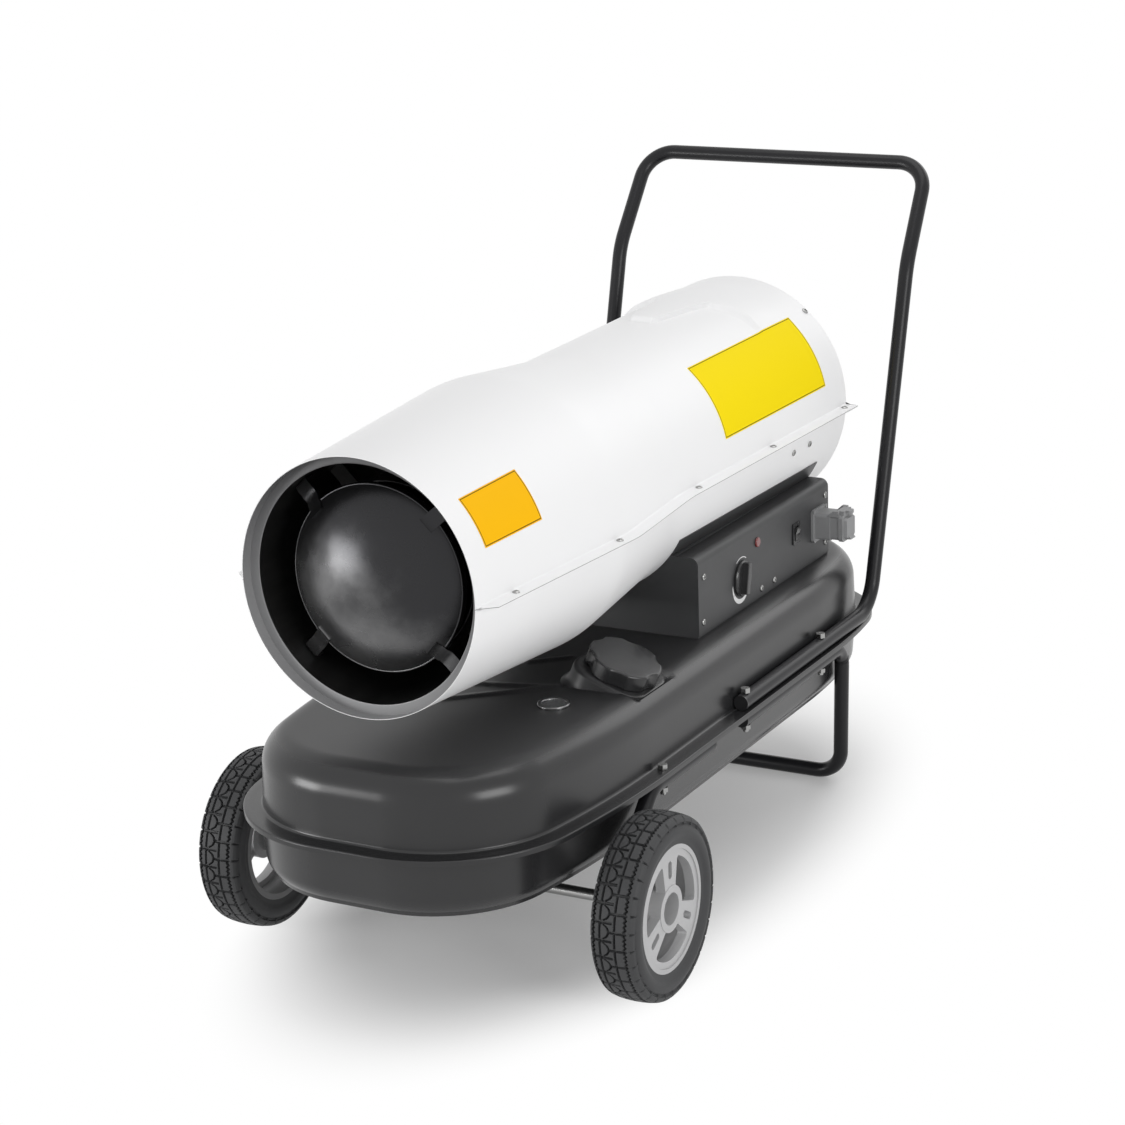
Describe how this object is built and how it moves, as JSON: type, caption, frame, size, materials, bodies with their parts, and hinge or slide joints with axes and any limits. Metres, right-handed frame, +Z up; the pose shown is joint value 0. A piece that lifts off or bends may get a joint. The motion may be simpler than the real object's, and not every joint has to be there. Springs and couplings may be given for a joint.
{
  "type": "forced air heater",
  "caption": "Direct-fired forced air heater on wheels: pressed fuel tank, white sheet barrel with flame dome and fan, side control box, bent push handle and rear leg.",
  "frame": {"origin": "On the floor, at the middle of the footprint of the whole heater.", "axes": "+Y runs from the hot outlet to the fan end and handle, +X points to the side with the controls, +Z is up."},
  "size_m": [0.6796, 1.4249, 0.9436],
  "materials": {
    "tank_black": "satin black paint",
    "frame_black": "satin black paint",
    "box_black": "matt black paint",
    "barrel_white": "gloss white paint",
    "zinc_steel": "zinc plated",
    "heat_steel": "dark heat resisting steel",
    "strainer_steel": "pressed sheet",
    "cap_black": "matt black plastic",
    "seal_rubber": "moulded",
    "gauge_chrome": "polished",
    "gauge_clear": "clear",
    "gauge_red": "red",
    "float_plastic": "natural",
    "tyre_black": "moulded rubber",
    "rim_grey": "grey plastic",
    "bush_plastic": "black plastic",
    "brass": "turned",
    "ceramic_white": "glazed ceramic",
    "sensor_black": "black plastic",
    "fan_aluminium": "pressed sheet",
    "motor_grey": "grey paint",
    "pump_iron": "machined",
    "guard_steel": "black paint",
    "lamp_red": "red lens",
    "socket_grey": "grey plastic",
    "board_green": "laminate",
    "coil_black": "cast resin",
    "line_copper": "drawn tube",
    "hose_black": "hose"
  },
  "bodies": {
    "chassis": {"tank_lower_pan": "tank_black", "tank_upper_shell": "tank_black", "handle_tube": "frame_black", "rear_leg": "frame_black", "axle_strut_right": "frame_black", "axle_strut_left": "frame_black", "pedestal": "box_black", "control_cover": "box_black", "barrel_lower_shell": "barrel_white", "barrel_upper_shell": "barrel_white", "frame_bolts": "zinc_steel", "frame_nuts": "zinc_steel", "barrel_screws": "zinc_steel", "cover_screws": "zinc_steel", "axle": "zinc_steel", "axle_spacers": "zinc_steel", "axle_clips": "zinc_steel", "drain_plug": "zinc_steel", "filler_neck": "zinc_steel", "motor_bracket": "zinc_steel", "chamber_brackets": "zinc_steel", "flame_liner": "heat_steel", "combustion_chamber": "heat_steel", "flame_dome": "heat_steel", "burner_head": "heat_steel", "filler_strainer": "strainer_steel", "tube_plugs": "cap_black", "switch_bezel": "cap_black", "gauge_bezel": "gauge_chrome", "gauge_lens": "gauge_clear", "thermostat_body": "bush_plastic", "fuel_nozzle": "brass", "socket_pins": "brass", "ignition_electrodes": "ceramic_white", "flame_sensor": "sensor_black", "motor_body": "motor_grey", "air_pump": "pump_iron", "inlet_guard": "guard_steel", "pilot_lamp": "lamp_red", "inlet_socket": "socket_grey", "circuit_board": "board_green", "ignition_transformer": "coil_black", "fuel_line": "line_copper", "air_line": "hose_black"},
    "wheel_right": {"tyre_right": "tyre_black", "rim_right": "rim_grey", "bush_right": "bush_plastic"},
    "wheel_left": {"tyre_left": "tyre_black", "rim_left": "rim_grey", "bush_left": "bush_plastic"},
    "fan_rotor": {"fan": "fan_aluminium", "motor_shaft": "zinc_steel"},
    "knob": {"thermostat_knob": "cap_black"},
    "rocker": {"switch_rocker": "cap_black"},
    "inlet_lid": {"socket_lid": "socket_grey"},
    "cap_seal": {"fuel_cap_seal": "seal_rubber"},
    "cap": {"fuel_cap": "cap_black"},
    "float": {"gauge_float": "float_plastic"},
    "pointer": {"gauge_pointer": "gauge_red"}
  },
  "joints": [
    {"name": "wheel_right_spin", "type": "hinge", "parent": "chassis", "child": "wheel_right", "pos_m": [0.30615, -0.43845, 0.127], "axis": [1, 0, 0], "continuous": true},
    {"name": "wheel_left_spin", "type": "hinge", "parent": "chassis", "child": "wheel_left", "pos_m": [-0.30615, -0.43845, 0.127], "axis": [1, 0, 0], "continuous": true},
    {"name": "fan_spin", "type": "hinge", "parent": "chassis", "child": "fan_rotor", "pos_m": [0, 0.25155, 0.5865], "axis": [0, 1, 0], "continuous": true},
    {"name": "thermostat_turn", "type": "hinge", "parent": "chassis", "child": "knob", "pos_m": [0.185, 0.11255, 0.408], "axis": [1, 0, 0], "range_deg": [-135, 135]},
    {"name": "switch_rock", "type": "hinge", "parent": "chassis", "child": "rocker", "pos_m": [0.185, 0.30955, 0.424], "axis": [0, 1, 0], "range_deg": [-18, 0]},
    {"name": "inlet_lid_swing", "type": "hinge", "parent": "chassis", "child": "inlet_lid", "pos_m": [0.22404, 0.39455, 0.44152], "axis": [0, -1, 0], "range_deg": [0, 100], "stiffness_Nm_per_rad": 0.01, "springref_deg": -28.65},
    {"name": "cap_lift", "type": "slide", "parent": "chassis", "child": "cap_seal", "axis": [0.3746, 0, 0.9272], "range_m": [0, 0.04]},
    {"name": "cap_turn", "type": "hinge", "parent": "cap_seal", "child": "cap", "pos_m": [0.1605, -0.23245, 0.3699], "axis": [0.3746, 0, 0.9272], "range_deg": [0, 90]},
    {"name": "float_rise", "type": "slide", "parent": "chassis", "child": "float", "axis": [0, 0, 1], "range_m": [0, 0.12]},
    {"name": "pointer_turn", "type": "hinge", "parent": "chassis", "child": "pointer", "pos_m": [0.126, -0.36445, 0.358], "axis": [0, 0, 1], "range_deg": [0, 240]}
  ],
  "couplings": [
    {"joint": "pointer_turn", "follows": "float_rise", "rad_per_m": 34.906}
  ]
}
